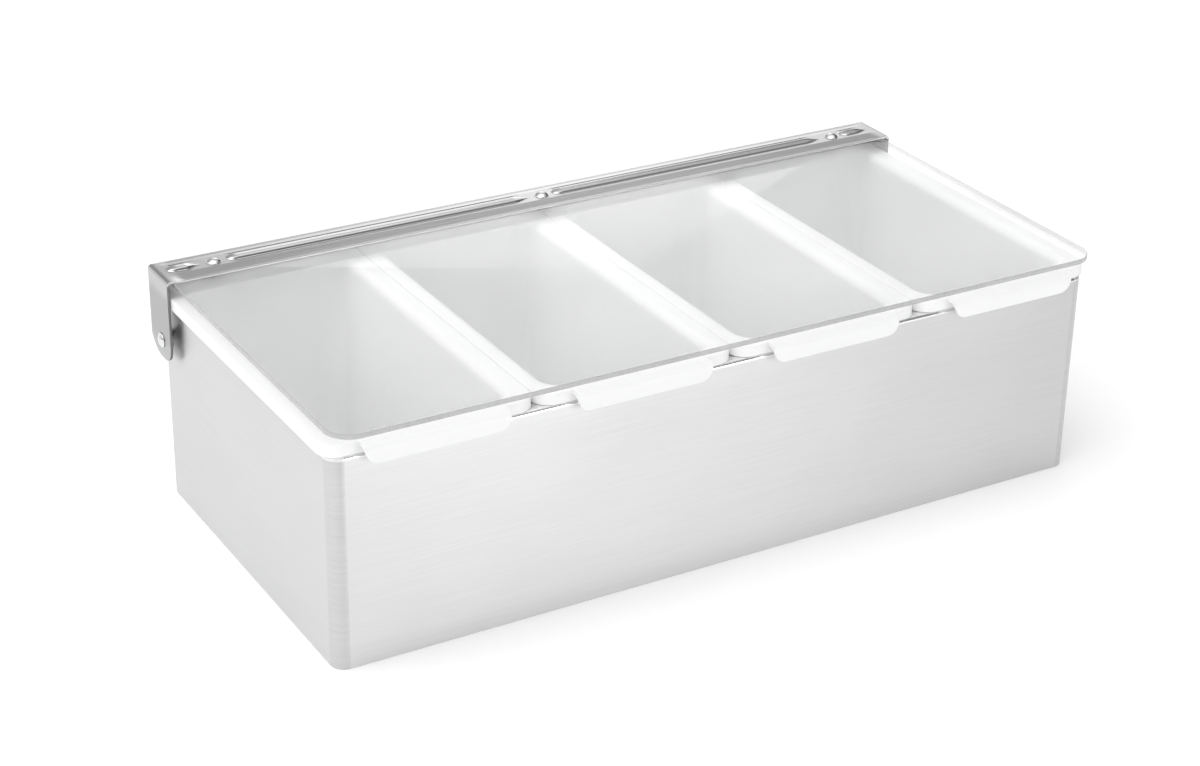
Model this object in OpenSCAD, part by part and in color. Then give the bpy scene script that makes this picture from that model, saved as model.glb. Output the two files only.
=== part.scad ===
// Four-tray condiment caddy with one clear lid that swings on a riveted hinge strip.
// Millimetres. +Z is up, +X runs along the length, -Y is the front (grip) side.
// The origin is the centre of the housing's flat underside.

/* [Housing] */
// Outside length of the housing
body_l = 325; // [300:1:360]
// Outside depth of the housing
body_d = 154; // [145:1:175]
// Height of the housing walls
body_h = 84; // [74:1:110]
// Thickness of the housing sheet
sheet_t = 1; // [0.8:0.1:1.2]
// Outside radius of the upright corners
body_r = 5.5; // [4:0.5:8]
// Height of the base pan's turned-up rim
pan_rim = 8; // [5:1:12]
// Width of the walls' inward-turned top edge, from the outside face
ledge_w = 3.8; // [2:0.1:3.8]
// Reach of the tabs that the turned edge forms between the trays at the front
tab_reach = 9; // [5:0.5:12]

/* [Inserts] */
// Height of the insert rim above the housing wall
rim_h = 4.6; // [4:0.1:5.5]
// Overhang of the outer rims beyond each end of the housing
rim_over = 2; // [1:0.1:2]
// Gap between neighbouring rims
rim_gap = 0.2; // [0.1:0.05:0.5]
// Plan radius of the rim's corners
rim_r = 7.5; // [5:0.5:10]
// Width of the rim from its side to the tray mouth
rim_side = 8.2; // [6.5:0.1:10]
// Width of the rim at the front
rim_front = 6; // [5:0.1:8]
// Width of the rim at the back
rim_back = 10.7; // [8:0.1:12]
// Wall thickness of the trays
tray_t = 1.6; // [1.2:0.1:2]
// Inward slope of the tray walls from mouth to floor
tray_taper = 5; // [3:0.5:7]
// Inside corner and floor radius of the trays
tray_r = 8; // [6:0.5:10]
// Clearance between the trays' undersides and the base pan
tray_lift = 3; // [1.5:0.5:6]
// Width of each front grip
grip_w = 55.4; // [40:0.2:60]
// How far the grips stand out from the housing's front
grip_out = 5; // [3:0.2:5.2]
// How far the grips turn down below the housing's top edge
grip_down = 2.6; // [0:0.2:8]

/* [Lid] */
// Thickness of the clear lid
lid_t = 2; // [1.5:0.1:3]
// Height of the closed lid's underside above the insert rims
lid_air = 4.1; // [3:0.1:6]
// Overhang of the lid beyond the housing's front
lid_front = 5.8; // [3:0.2:10]
// Width of the lid
lid_l = 325.4; // [290:0.2:326]
// Radius of the lid's front corners
lid_r = 10; // [4:0.5:20]

/* [Hinge strip] */
// Thickness of the strip
strip_t = 1; // [0.8:0.1:1.2]
// Depth of the strip from its front edge to its back
strip_w = 20.5; // [18:0.5:24]
// Outside width past each end of the housing
strip_over = 3.3; // [3.3:0.1:4]
// Height of the strip's turned-down back
strip_back = 13.2; // [8:0.2:13.4]
// Width of the raised beads
bead_w = 5.2; // [4:0.2:6.4]
// Height of the raised beads
bead_h = 1.2; // [0.6:0.1:1.6]

/* [Rivets] */
// Diameter of the rivet heads
head_d = 6; // [5:0.2:6.4]
// Height of the rivet heads
head_h = 1.3; // [1:0.1:1.6]
// Diameter of the rivet shanks
shank_d = 3.2; // [2.6:0.1:3.4]
// Distance of the outer lid rivets from the middle
rivet_x = 142.7; // [130:0.1:146]
// Height of the pivot below the housing's top edge
pivot_drop = 15.5; // [14.5:0.1:17]

/* [Hidden] */
$fn = 64;
eps = 0.02;

half_l = body_l / 2;
half_d = body_d / 2;

// insert rims
pitch = (body_l + 2 * rim_over) / 4;
rim_l = pitch - rim_gap;
rim_top = body_h + rim_h;
rim_yf = -half_d + 0.2;
rim_yb = half_d + 2.2;
plate_t = 1.8;
skirt_t = 1.5;
mouth_l = rim_l - 2 * rim_side;
mouth_yf = rim_yf + rim_front;
mouth_yb = rim_yb - rim_back;
tray_floor = sheet_t + tray_lift + tray_t;

// lid and strip
lid_z = rim_top + lid_air;
strip_yb = rim_yb + 0.3 + strip_t;
strip_yf = strip_yb - strip_w;
strip_z = lid_z + lid_t;
strip_top = strip_z + strip_t;
strip_x = half_l + strip_over;
ear_z = body_h - pivot_drop - 7.1;

// hinge axis
pivot_y = strip_yf + 9;
pivot_z = body_h - pivot_drop;
rivet_y = strip_yf + 10.5;
hole_d = shank_d + 0.1;
washer_t = 0.5;
washer_d = 8;
tail_d = 4.8;
tail_h = 0.8;
ear_in = strip_x - strip_t;
spacer_t = ear_in - half_l - 0.1;
// the turned edge stops 0.6 short of the trays
ledge = min(ledge_w, rim_side - rim_over - tray_t - 0.6, rim_front - tray_t - 0.4);
// so do the tabs, on both sides
tab_w = rim_gap + 2 * rim_side - 2 * tray_t - 1.2;

// flat rounded rectangle from two corners
module round_rect(x0, y0, x1, y1, r) {
    translate([x0 + r, y0]) square([x1 - x0 - 2 * r, y1 - y0]);
    translate([x0, y0 + r]) square([x1 - x0, y1 - y0 - 2 * r]);
    for (x = [x0 + r, x1 - r], y = [y0 + r, y1 - r]) translate([x, y]) circle(r);
}

// extrudes a drawing made in (Y, Z) along X, from x0 to x1
module along_x(x0, x1) {
    translate([x0, 0, 0]) rotate([90, 0, 90]) linear_extrude(x1 - x0) children();
}

// extrudes a drawing made in (X, Z) along Y, from y0 to y1
module along_y(y0, y1) {
    translate([0, y1, 0]) rotate([90, 0, 0]) linear_extrude(y1 - y0) children();
}

// four walls rolled from one sheet, butt welded up the middle of the back;
// the top edge turns inward and carries the insert rims, and between the trays
// a tab of it closes the gap that the rims' round corners leave at the front
module housing_wrap() {
    color("#c9cbcc") {
        difference() {
            linear_extrude(body_h) round_rect(-half_l, -half_d, half_l, half_d, body_r);
            translate([0, 0, -1]) linear_extrude(body_h + 1 - sheet_t)
                round_rect(-half_l + sheet_t, -half_d + sheet_t, half_l - sheet_t, half_d - sheet_t, body_r - sheet_t);
            translate([0, 0, body_h - sheet_t - 1]) linear_extrude(sheet_t + 2)
                round_rect(-half_l + ledge, -half_d + ledge, half_l - ledge, half_d - ledge, max(1, body_r - ledge));
            translate([0, pivot_y, pivot_z]) rotate([0, 90, 0]) cylinder(d = hole_d, h = body_l + 2, center = true);
        }
        for (x = [-pitch, 0, pitch])
            translate([x - tab_w / 2, -half_d + sheet_t, body_h - sheet_t]) cube([tab_w, tab_reach - sheet_t, sheet_t]);
    }
}

// shallow pan that closes the bottom; its rim stands inside the walls
module housing_base() {
    g = sheet_t + 0.05;
    color("#bfc1c2") difference() {
        linear_extrude(pan_rim) round_rect(-half_l + g, -half_d + g, half_l - g, half_d - g, body_r - g);
        translate([0, 0, sheet_t]) linear_extrude(pan_rim)
            round_rect(-half_l + g + sheet_t, -half_d + g + sheet_t, half_l - g - sheet_t, half_d - g - sheet_t, max(1, body_r - g - sheet_t));
    }
}

// tapered tray block: w is how much it is grown past the inside surface
module tray_block(w, z_top) {
    r = tray_r + w;
    hull() {
        translate([0, 0, z_top - 0.02]) linear_extrude(0.02)
            round_rect(-mouth_l / 2 - w, mouth_yf - w, mouth_l / 2 + w, mouth_yb + w, r, $fn = 32);
        for (x = [-1, 1], y = [0, 1])
            translate([
                x * (mouth_l / 2 - tray_taper - tray_r),
                y == 0 ? mouth_yf + tray_taper + tray_r : mouth_yb - tray_taper - tray_r,
                tray_floor + tray_r
            ]) sphere(r, $fn = 32);
    }
}

// side view of the front grip: a lip that rolls over the rim and turns down
module grip_profile(grow, y_in) {
    y0 = -half_d - grip_out + grow;
    z0 = body_h - grip_down - grow;
    r = 3 - grow;
    translate([y0 + r, rim_top - 3]) circle(r);
    translate([y0, z0]) square([r, rim_top - 3 - z0]);
    translate([y0 + r, z0]) square([y_in - y0 - r, rim_top - grow - z0]);
}

module grip() {
    t = 1.6;
    intersection() {
        along_x(-grip_w / 2, grip_w / 2) difference() {
            grip_profile(0, rim_yf + skirt_t / 2);
            grip_profile(t, rim_yf + 1);
        }
        along_y(-half_d - grip_out - 1, rim_yf + 1)
            round_rect(-grip_w / 2, body_h - grip_down, grip_w / 2, rim_top + 20, 5);
    }
}

// one lift-out tray with a hollow rim, a front grip and ribs that sit on the walls
module insert_unit() {
    x = rim_l / 2;
    difference() {
        union() {
            translate([0, 0, rim_top - plate_t]) linear_extrude(plate_t)
                round_rect(-x, rim_yf, x, rim_yb, rim_r);
            translate([0, 0, body_h]) linear_extrude(rim_h) difference() {
                round_rect(-x, rim_yf, x, rim_yb, rim_r);
                round_rect(-x + skirt_t, rim_yf + skirt_t, x - skirt_t, rim_yb - skirt_t, rim_r - skirt_t);
            }
            for (rx = [-20, 20]) translate([rx - 0.8, mouth_yb + 1, body_h])
                cube([1.6, rim_yb - mouth_yb - 1 - skirt_t / 2, rim_h - plate_t / 2]);
            tray_block(tray_t, rim_top - plate_t / 2);
            grip();
        }
        tray_block(0, rim_top + 0.02);
        translate([0, 0, rim_top - 0.02]) linear_extrude(1)
            round_rect(-mouth_l / 2, mouth_yf, mouth_l / 2, mouth_yb, tray_r);
    }
}

module insert_at(i) {
    color("#f4f5f5") translate([(i - 2.5) * pitch, 0, 0]) insert_unit();
}

module insert_1() { insert_at(1); }
module insert_2() { insert_at(2); }
module insert_3() { insert_at(3); }
module insert_4() { insert_at(4); }

// clear flat lid, riveted under the strip
module lid_panel() {
    yb = strip_yb - strip_t - 1.5;
    yf = -half_d - lid_front;
    color([0.9, 0.93, 0.95, 0.4]) translate([0, 0, lid_z]) linear_extrude(lid_t) difference() {
        union() {
            round_rect(-lid_l / 2, yf, lid_l / 2, yb - 3, lid_r);
            round_rect(-lid_l / 2, yf + 2 * lid_r, lid_l / 2, yb, 2);
        }
        for (x = [-rivet_x, 0, rivet_x]) translate([x, rivet_y]) circle(d = hole_d);
    }
}

// side view of the strip's ear, in (Y, Z)
module ear_outline() {
    rf = 6;
    rb = 12;
    translate([strip_yf, ear_z + rb]) square([strip_w, strip_top - ear_z - rb - 2]);
    translate([strip_yf, ear_z + rf]) square([strip_w - rb, strip_top - ear_z - rf]);
    translate([strip_yf + rf, ear_z]) square([strip_w - rb - rf, rf + 1]);
    translate([strip_yf, strip_top - 3]) square([strip_w - 2, 3]);
    translate([strip_yb - 2, strip_top - 2]) circle(2);
    translate([strip_yf + rf, ear_z + rf]) circle(rf);
    translate([strip_yb - rb, ear_z + rb]) circle(rb);
}

// one raised bead from x0 to x1: part of a round bar, with ball ends
module bead(x0, x1, shrink) {
    r = (bead_w * bead_w / 4 + bead_h * bead_h) / (2 * bead_h);
    e = bead_w / 2;
    z = strip_top + bead_h - r;
    translate([x0 + e, rivet_y, z]) rotate([0, 90, 0]) cylinder(r = r - shrink, h = x1 - x0 - 2 * e);
    for (x = [x0 + e, x1 - e]) translate([x, rivet_y, z]) sphere(r - shrink);
}

module beads(shrink) {
    bead(5, rivet_x - 5.5, shrink);
    bead(5.5 - rivet_x, -5, shrink);
    bead(rivet_x + 4.6, half_l - 1, shrink);
    bead(1 - half_l, -rivet_x - 4.6, shrink);
}

// folded strip: flat top with pressed beads, turned-down back, and an ear at each end
module hinge_strip() {
    color("#b9bcbe") difference() {
        union() {
            difference() {
                intersection() {
                    along_x(-strip_x, strip_x) ear_outline();
                    along_y(strip_yf - 1, strip_yb + 1) union() {
                        translate([-strip_x, ear_z - 1]) square([2 * strip_x, strip_top - ear_z - 0.5]);
                        translate([-strip_x + 1.5, ear_z]) square([2 * strip_x - 3, strip_top - ear_z]);
                        for (s = [-1, 1]) translate([s * (strip_x - 1.5), strip_top - 1.5]) circle(1.5);
                    }
                }
                translate([-ear_in, strip_yf - 1, ear_z - 1])
                    cube([2 * ear_in, strip_w + 1 - strip_t, strip_z - ear_z + 1]);
                translate([-ear_in, strip_yf - 1, ear_z - 1])
                    cube([2 * ear_in, strip_w + 2, strip_top - strip_back - ear_z + 1]);
            }
            intersection() {
                beads(0);
                translate([-half_l - 1, strip_yf, strip_z]) cube([body_l + 2, strip_w, 5]);
            }
        }
        difference() {
            beads(strip_t);
            translate([-half_l - 1, strip_yf, strip_z - 20]) cube([body_l + 2, strip_w, 20]);
        }
        for (x = [-rivet_x, 0, rivet_x]) translate([x, rivet_y, strip_z - 1]) cylinder(d = hole_d, h = 4);
        translate([0, pivot_y, pivot_z]) rotate([0, 90, 0]) cylinder(d = hole_d, h = 2 * strip_x + 2, center = true);
    }
}

// dome-headed rivet standing on z = 0, with its tail rolled over at the far side of a stack of the given thickness
module rivet(grip_len) {
    r = (head_d * head_d / 4 + head_h * head_h) / (2 * head_h);
    rotate_extrude() difference() {
        union() {
            intersection() {
                translate([0, head_h - r]) circle(r);
                square([head_d / 2, head_h]);
            }
            translate([0, -grip_len - tail_h]) square([shank_d / 2, grip_len + tail_h + 0.1]);
            translate([0, -grip_len - tail_h]) square([tail_d / 2 - 0.4, tail_h]);
            translate([0, -grip_len - tail_h + 0.4]) square([tail_d / 2, tail_h - 0.4]);
            intersection() {
                translate([tail_d / 2 - 0.4, -grip_len - tail_h + 0.4]) circle(0.4);
                translate([0, -grip_len - tail_h]) square([tail_d, 1]);
            }
        }
        translate([0, -grip_len - tail_h - 1]) square([0.9, 2.2]);
    }
}

module washer(d, t) {
    difference() {
        cylinder(d = d, h = t);
        translate([0, 0, -1]) cylinder(d = hole_d, h = t + 2);
    }
}

module lid_rivet(x) {
    color("#d8dadb") translate([x, rivet_y, strip_top]) rivet(strip_t + lid_t + washer_t);
}
module lid_rivet_left() { lid_rivet(-rivet_x); }
module lid_rivet_middle() { lid_rivet(0); }
module lid_rivet_right() { lid_rivet(rivet_x); }

module lid_washer(x) {
    color("#cfd1d2") translate([x, rivet_y, lid_z - washer_t]) washer(washer_d, washer_t);
}
module lid_washer_left() { lid_washer(-rivet_x); }
module lid_washer_middle() { lid_washer(0); }
module lid_washer_right() { lid_washer(rivet_x); }

// the pivot rivets pass through the ear, the spacer, the wall and the inner washer;
// the inner washers are small enough to stay on the flat, clear of the corner bend
module pivot_rivet(side) {
    color("#d8dadb") translate([side * (strip_x + 0.1), pivot_y, pivot_z]) rotate([0, side * 90, 0])
        rivet(strip_x + 0.1 - half_l + sheet_t + washer_t);
}
module pivot_rivet_left() { pivot_rivet(-1); }
module pivot_rivet_right() { pivot_rivet(1); }

module pivot_spacer(side) {
    color("#cfd1d2") translate([side * half_l, pivot_y, pivot_z]) rotate([0, side * 90, 0]) washer(washer_d, spacer_t);
}
module pivot_spacer_left() { pivot_spacer(-1); }
module pivot_spacer_right() { pivot_spacer(1); }

module pivot_washer(side) {
    color("#cfd1d2") translate([side * (half_l - sheet_t), pivot_y, pivot_z]) rotate([0, -side * 90, 0]) washer(5, washer_t);
}
module pivot_washer_left() { pivot_washer(-1); }
module pivot_washer_right() { pivot_washer(1); }

housing_wrap();
housing_base();
insert_1();
insert_2();
insert_3();
insert_4();
lid_panel();
hinge_strip();
lid_rivet_left();
lid_rivet_middle();
lid_rivet_right();
lid_washer_left();
lid_washer_middle();
lid_washer_right();
pivot_rivet_left();
pivot_rivet_right();
pivot_spacer_left();
pivot_spacer_right();
pivot_washer_left();
pivot_washer_right();
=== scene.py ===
import math
import bpy
import bmesh
import numpy as np
from mathutils import Matrix, Vector


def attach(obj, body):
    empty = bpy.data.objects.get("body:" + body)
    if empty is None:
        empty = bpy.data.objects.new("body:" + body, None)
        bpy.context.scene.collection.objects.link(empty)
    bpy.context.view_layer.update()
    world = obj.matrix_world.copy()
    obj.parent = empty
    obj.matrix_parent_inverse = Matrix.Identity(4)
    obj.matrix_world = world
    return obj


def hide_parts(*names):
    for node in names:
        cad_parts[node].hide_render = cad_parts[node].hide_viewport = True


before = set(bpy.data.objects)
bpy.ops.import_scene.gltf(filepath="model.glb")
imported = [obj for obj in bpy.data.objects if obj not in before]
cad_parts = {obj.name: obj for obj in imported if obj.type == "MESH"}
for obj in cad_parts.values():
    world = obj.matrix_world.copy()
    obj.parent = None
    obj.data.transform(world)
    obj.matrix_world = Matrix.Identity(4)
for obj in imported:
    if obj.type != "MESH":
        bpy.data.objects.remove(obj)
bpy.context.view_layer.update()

MM = 0.001

# ---------------------------------------------------------------- sizes (mm, the CAD's own)
HALF_L, HALF_D, BODY_H = 162.5, 77.0, 84.0
PITCH = 82.25
RIM_L = 82.05
RIM_TOP = 88.6
RIM_YF, RIM_YB = -76.8, 79.2
LID_Z, LID_T = 92.7, 2.0
STRIP_Z, STRIP_TOP = 94.7, 95.7
STRIP_X = 165.8
STRIP_YF, STRIP_YB = 60.0, 80.5
PIVOT_Y, PIVOT_Z = 69.0, 68.5
RIVET_Y = 70.5
RIVET_X = 142.7


# ---------------------------------------------------------------- mesh helpers
def make(name, verts, faces, materials, face_mats=None, uv=None, angle=30.0, merge=1e-6):
    """A mesh object from millimetre vertices."""
    me = bpy.data.meshes.new(name)
    me.from_pydata([tuple(c * MM for c in v) for v in verts], [], faces)
    me.update()
    if uv is not None:
        layer = me.uv_layers.new(name="UVMap")
        flat = np.zeros(len(me.loops) * 2, np.float32)
        for i, l in enumerate(me.loops):
            flat[2 * i], flat[2 * i + 1] = uv[l.vertex_index]
        layer.data.foreach_set("uv", flat)
    for m in materials:
        me.materials.append(m)
    if face_mats is not None:
        me.polygons.foreach_set("material_index", np.array(face_mats, np.int32))
    if merge:
        bm = bmesh.new()
        bm.from_mesh(me)
        bmesh.ops.remove_doubles(bm, verts=bm.verts, dist=merge)
        bmesh.ops.dissolve_degenerate(bm, edges=bm.edges, dist=1e-7)
        bmesh.ops.recalc_face_normals(bm, faces=bm.faces)
        bm.to_mesh(me)
        bm.free()
    me.polygons.foreach_set("use_smooth", np.ones(len(me.polygons), bool))
    me.set_sharp_from_angle(angle=math.radians(angle))
    ob = bpy.data.objects.new(name, me)
    bpy.context.scene.collection.objects.link(ob)
    return ob


def freeze(ob, angle=30.0):
    """Turns an object's modifiers into its mesh."""
    bpy.context.view_layer.update()
    dg = bpy.context.evaluated_depsgraph_get()
    me = bpy.data.meshes.new_from_object(ob.evaluated_get(dg), depsgraph=dg)
    ob.modifiers.clear()
    ob.data = me
    me.polygons.foreach_set("use_smooth", np.ones(len(me.polygons), bool))
    me.set_sharp_from_angle(angle=math.radians(angle))
    return ob


def rod(axis, c, r, a, b, n=48):
    """A closed round bar along X or Z from a to b, for drilling. c is its place in the other two axes."""
    verts = []
    for h in (a, b):
        for k in range(n):
            t = 2 * math.pi * (k + 0.37) / n
            u, v = c[0] + r * math.cos(t), c[1] + r * math.sin(t)
            verts.append((h, u, v) if axis == "X" else (u, v, h))
    faces = [(k, (k + 1) % n, n + (k + 1) % n, n + k) for k in range(n)]
    return verts, faces + [tuple(range(n))[::-1], tuple(range(n, 2 * n))]


def work(ob, forms, operation, mat_index, angle):
    """Drills closed forms out of a piece (DIFFERENCE) or welds them on (UNION)."""
    verts, faces = [], []
    for v, f in forms:
        off = len(verts)
        verts += v
        faces += [tuple(i + off for i in g) for g in f]
    me = bpy.data.meshes.new("tool")
    me.from_pydata([tuple(c * MM for c in v) for v in verts], [], faces)
    for m in ob.data.materials:
        me.materials.append(m)
    me.polygons.foreach_set("material_index", np.full(len(me.polygons), mat_index, np.int32))
    bm = bmesh.new()
    bm.from_mesh(me)
    bmesh.ops.recalc_face_normals(bm, faces=bm.faces)
    bm.to_mesh(me)
    bm.free()
    tool = bpy.data.objects.new("tool", me)
    bpy.context.scene.collection.objects.link(tool)
    md = ob.modifiers.new("work", "BOOLEAN")
    md.operation = operation
    md.solver = "EXACT"
    md.material_mode = "INDEX"
    md.object = tool
    freeze(ob, angle)
    bpy.data.objects.remove(tool, do_unlink=True)
    bm = bmesh.new()
    bm.from_mesh(ob.data)
    bmesh.ops.remove_doubles(bm, verts=bm.verts, dist=1e-7)
    bmesh.ops.dissolve_degenerate(bm, edges=bm.edges, dist=1e-7)
    bmesh.ops.delete(bm, geom=[v for v in bm.verts if not v.link_faces], context="VERTS")
    bm.to_mesh(ob.data)
    bm.free()
    ob.data.update()
    return ob


def lerp(a, b, t):
    return a + (b - a) * t


def ring(x0, x1, y0, y1, r, nc=10, front=None, side=None, back=None):
    """Closed rounded rectangle, counter-clockwise from the front-left tangent point.
    front, side and back hold the fractions of the straight runs that get a vertex."""
    front = front if front is not None else [0.0, 1.0]
    side = side if side is not None else [0.0, 1.0]
    back = back if back is not None else [0.0, 1.0]
    pts = []
    for f in front:
        pts.append((lerp(x0 + r, x1 - r, f), y0))
    for k in range(1, nc):
        a = -math.pi / 2 + math.pi / 2 * k / nc
        pts.append((x1 - r + r * math.cos(a), y0 + r + r * math.sin(a)))
    for f in side:
        pts.append((x1, lerp(y0 + r, y1 - r, f)))
    for k in range(1, nc):
        a = math.pi / 2 * k / nc
        pts.append((x1 - r + r * math.cos(a), y1 - r + r * math.sin(a)))
    for f in back:
        pts.append((lerp(x1 - r, x0 + r, f), y1))
    for k in range(1, nc):
        a = math.pi / 2 + math.pi / 2 * k / nc
        pts.append((x0 + r + r * math.cos(a), y1 - r + r * math.sin(a)))
    for f in side:
        pts.append((x0, lerp(y1 - r, y0 + r, f)))
    for k in range(1, nc):
        a = math.pi + math.pi / 2 * k / nc
        pts.append((x0 + r + r * math.cos(a), y0 + r + r * math.sin(a)))
    return pts


def loft(rings, closed_profile=False, cap_first=False, cap_last=False):
    """Faces between rings of equal length. Returns vertices, faces and the ring index of each face."""
    n = len(rings[0])
    verts = [p for r in rings for p in r]
    faces, owner = [], []
    m = len(rings)
    for i in range(m if closed_profile else m - 1):
        j = (i + 1) % m
        for k in range(n):
            l = (k + 1) % n
            faces.append((i * n + k, i * n + l, j * n + l, j * n + k))
            owner.append(i)
    if cap_first:
        faces.append(tuple(range(n))[::-1])
        owner.append(0)
    if cap_last:
        faces.append(tuple(range((m - 1) * n, m * n)))
        owner.append(m - 2)
    return verts, faces, owner


def revolve(profile, n=48):
    """Closed solid from (radius, height) pairs turned about Z. A radius of 0 is a pole."""
    verts, faces, idx = [], [], []
    for r, z in profile:
        if r <= 1e-9:
            idx.append([len(verts)] * n)
            verts.append((0, 0, z))
        else:
            idx.append(list(range(len(verts), len(verts) + n)))
            for k in range(n):
                a = 2 * math.pi * k / n
                verts.append((r * math.cos(a), r * math.sin(a), z))
    for i in range(len(profile) - 1):
        for k in range(n):
            l = (k + 1) % n
            f = [idx[i][k], idx[i][l], idx[i + 1][l], idx[i + 1][k]]
            g = []
            for v in f:
                if v not in g:
                    g.append(v)
            if len(g) > 2:
                faces.append(tuple(g))
    return verts, faces


# ---------------------------------------------------------------- material helpers
def new_mat(name):
    m = bpy.data.materials.new(name)
    m.use_nodes = True
    nt = m.node_tree
    nt.nodes.clear()
    out = nt.nodes.new("ShaderNodeOutputMaterial")
    bsdf = nt.nodes.new("ShaderNodeBsdfPrincipled")
    nt.links.new(bsdf.outputs[0], out.inputs[0])
    return m, nt, bsdf


def ramp(nt, fac, stops):
    r = nt.nodes.new("ShaderNodeValToRGB")
    e = r.color_ramp.elements
    e[0].position, e[0].color = stops[0][0], stops[0][1]
    e[1].position, e[1].color = stops[-1][0], stops[-1][1]
    for p, c in stops[1:-1]:
        x = e.new(p)
        x.color = c
    nt.links.new(fac, r.inputs[0])
    return r


def grey(v, a=1.0):
    return (v, v, v * 1.003, a)


def mapped(nt, coord, scale, loc=(0, 0, 0)):
    mp = nt.nodes.new("ShaderNodeMapping")
    mp.inputs["Scale"].default_value = scale
    mp.inputs["Location"].default_value = loc
    nt.links.new(coord, mp.inputs["Vector"])
    return mp.outputs[0]


def noise(nt, vec, scale=1.0, detail=4.0, rough=0.55):
    n = nt.nodes.new("ShaderNodeTexNoise")
    n.inputs["Scale"].default_value = scale
    n.inputs["Detail"].default_value = detail
    n.inputs["Roughness"].default_value = rough
    nt.links.new(vec, n.inputs["Vector"])
    return n.outputs["Fac"]


def mix_val(nt, a, b, fac=0.5, op="MULTIPLY"):
    m = nt.nodes.new("ShaderNodeMath")
    m.operation = op
    for i, v in enumerate((a, b)):
        if isinstance(v, (int, float)):
            m.inputs[i].default_value = v
        else:
            nt.links.new(v, m.inputs[i])
    return m.outputs[0]


def brushed(name, base, rough, aniso, streak=0.06, bump=0.15, fine=1.0, wave=0.0, uvs=True, along=None):
    """Brushed stainless sheet. U of the UV map runs along the grain, both in metres.
    along holds (first U, last U, stops) of painted light and shade, which scale the base colour along U."""
    m, nt, b = new_mat(name)
    b.inputs["Metallic"].default_value = 1.0
    b.inputs["Anisotropic"].default_value = aniso
    b.inputs["Anisotropic Rotation"].default_value = 0.25
    tc = nt.nodes.new("ShaderNodeTexCoord")
    src = tc.outputs["UV"] if uvs else tc.outputs["Object"]
    long_ = noise(nt, mapped(nt, src, (14, 2600 * fine, 1)), 1.0, 5, 0.62)
    mid = noise(nt, mapped(nt, src, (34, 900 * fine, 1), (3.1, 7.7, 0)), 1.0, 3, 0.5)
    cloud = noise(nt, mapped(nt, src, (9, 16, 1), (1.7, 0.4, 0)), 1.0, 3, 0.5)
    s = mix_val(nt, mix_val(nt, long_, 0.6), mix_val(nt, mid, 0.4), op="ADD")
    lo, hi = base - streak, base + streak
    col = ramp(nt, s, [(0.30, grey(lo)), (0.5, grey(base)), (0.70, grey(hi))])
    cl = ramp(nt, cloud, [(0.35, grey(0.96)), (0.65, grey(1.0))])
    mx = nt.nodes.new("ShaderNodeMix")
    mx.data_type = "RGBA"
    mx.blend_type = "MULTIPLY"
    mx.inputs[0].default_value = 1.0
    nt.links.new(col.outputs[0], mx.inputs[6])
    nt.links.new(cl.outputs[0], mx.inputs[7])
    shade = mx.outputs[2]
    # painted light and shade: the base colour is scaled along U by the given stops
    if along:
        sep = nt.nodes.new("ShaderNodeSeparateXYZ")
        nt.links.new(src, sep.inputs[0])
        place_u = nt.nodes.new("ShaderNodeMapRange")
        place_u.inputs["From Min"].default_value = along[0]
        place_u.inputs["From Max"].default_value = along[1]
        nt.links.new(sep.outputs[0], place_u.inputs["Value"])
        painted_light_ramp = ramp(nt, place_u.outputs[0], [(t, grey(v)) for t, v in along[2]])
        painted_light_ramp.color_ramp.interpolation = "EASE"
        m2 = nt.nodes.new("ShaderNodeMix")
        m2.data_type = "RGBA"
        m2.blend_type = "MULTIPLY"
        m2.inputs[0].default_value = 1.0
        nt.links.new(shade, m2.inputs[6])
        nt.links.new(painted_light_ramp.outputs[0], m2.inputs[7])
        shade = m2.outputs[2]
    nt.links.new(shade, b.inputs["Base Color"])
    rr = nt.nodes.new("ShaderNodeMapRange")
    rr.inputs["From Min"].default_value = 0.3
    rr.inputs["From Max"].default_value = 0.7
    rr.inputs["To Min"].default_value = rough - 0.05
    rr.inputs["To Max"].default_value = rough + 0.06
    nt.links.new(s, rr.inputs["Value"])
    nt.links.new(rr.outputs[0], b.inputs["Roughness"])
    bp = nt.nodes.new("ShaderNodeBump")
    bp.inputs["Strength"].default_value = bump
    bp.inputs["Distance"].default_value = 0.00006
    nt.links.new(s, bp.inputs["Height"])
    last = bp
    if wave:
        w = noise(nt, mapped(nt, src, (7, 11, 1), (5.2, 2.9, 0)), 1.0, 1, 0.4)
        b2 = nt.nodes.new("ShaderNodeBump")
        b2.inputs["Strength"].default_value = wave
        b2.inputs["Distance"].default_value = 0.0008
        nt.links.new(w, b2.inputs["Height"])
        nt.links.new(b2.outputs[0], bp.inputs["Normal"])
    nt.links.new(last.outputs[0], b.inputs["Normal"])
    if uvs:
        tg = nt.nodes.new("ShaderNodeTangent")
        tg.direction_type = "UV_MAP"
        tg.uv_map = "UVMap"
        nt.links.new(tg.outputs[0], b.inputs["Tangent"])
    return m


# ---------------------------------------------------------------- materials
steel_wall = brushed("steel_wall", 0.68, 0.36, 0.82, streak=0.035, bump=0.22, wave=0.25)
steel_pan = brushed("steel_pan", 0.6, 0.38, 0.5, streak=0.04, bump=0.2)
steel_strip = brushed("steel_strip", 0.49, 0.22, 0.6, streak=0.035, bump=0.16, fine=1.2)


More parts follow.
